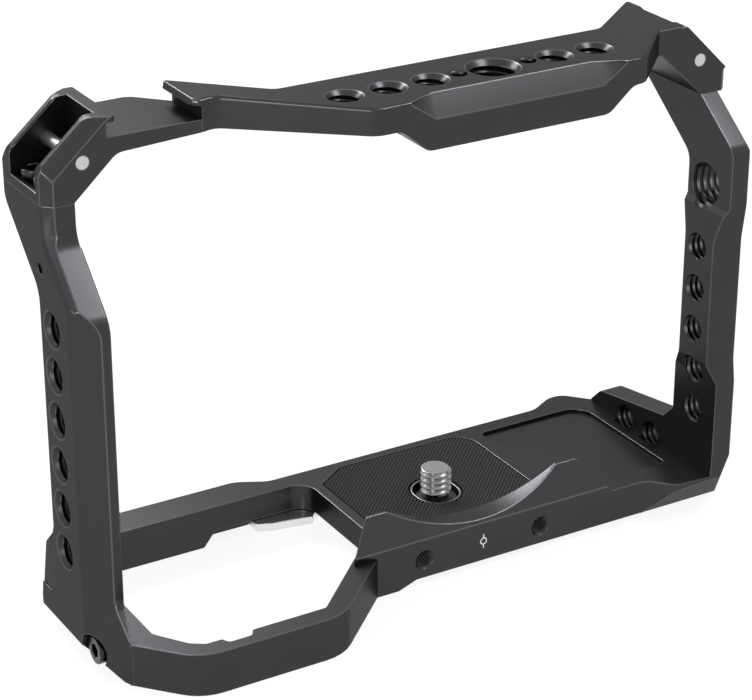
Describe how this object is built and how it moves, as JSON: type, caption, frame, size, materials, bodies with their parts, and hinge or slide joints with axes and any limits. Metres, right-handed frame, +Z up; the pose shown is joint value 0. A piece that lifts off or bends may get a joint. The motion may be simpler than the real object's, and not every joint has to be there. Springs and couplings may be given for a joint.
{
  "type": "camera cage",
  "caption": "Machined metal frame that closes round a camera, with a screw seat, an open grip loop, an accessory shoe, strap slots and rows of threaded holes.",
  "frame": {"origin": "centre of the footprint of the whole cage, on its underside", "axes": "+X to the right seen from the front, -Y to the front where the lens looks out, +Z up"},
  "size_m": [0.1422, 0.0576, 0.1035],
  "materials": {
    "frame": "dark grey anodised, fine matt",
    "rubber": "black, finely ribbed on the seat",
    "black_plastic": "black",
    "steel": "bright, turned or ground",
    "black_steel": "black oxide",
    "magnet": "nickel plated"
  },
  "bodies": {
    "frame": {"base_plate": "frame", "front_lip": "frame", "grip_arm": "frame", "grip_front": "frame", "side_rail": "frame", "rear_rail": "frame", "right_wall": "frame", "right_upright": "frame", "right_corner": "frame", "top_bar": "frame", "shoe_floor": "frame", "strap_block": "frame", "left_upright": "frame", "upright_liner": "rubber", "base_pad": "rubber", "strap_pin_left": "steel", "strap_pin_right": "steel", "corner_bolts": "black_steel", "foot_bolt": "black_steel", "tool_magnets": "magnet"},
    "ring": {"screw_ring": "black_plastic"},
    "screw": {"camera_screw": "steel"},
    "tool": {"flat_tool": "steel"}
  },
  "joints": [
    {"name": "ring_slide", "type": "slide", "parent": "frame", "child": "ring", "axis": [0, 1, 0], "range_m": [-0.00055, 0.00055]},
    {"name": "screw_turn", "type": "hinge", "parent": "ring", "child": "screw", "pos_m": [0.01295, 0.00475, 0.0066], "axis": [0, 0, 1], "continuous": true},
    {"name": "tool_pull", "type": "slide", "parent": "frame", "child": "tool", "axis": [0, 0, -1], "range_m": [0, 0.012]}
  ]
}
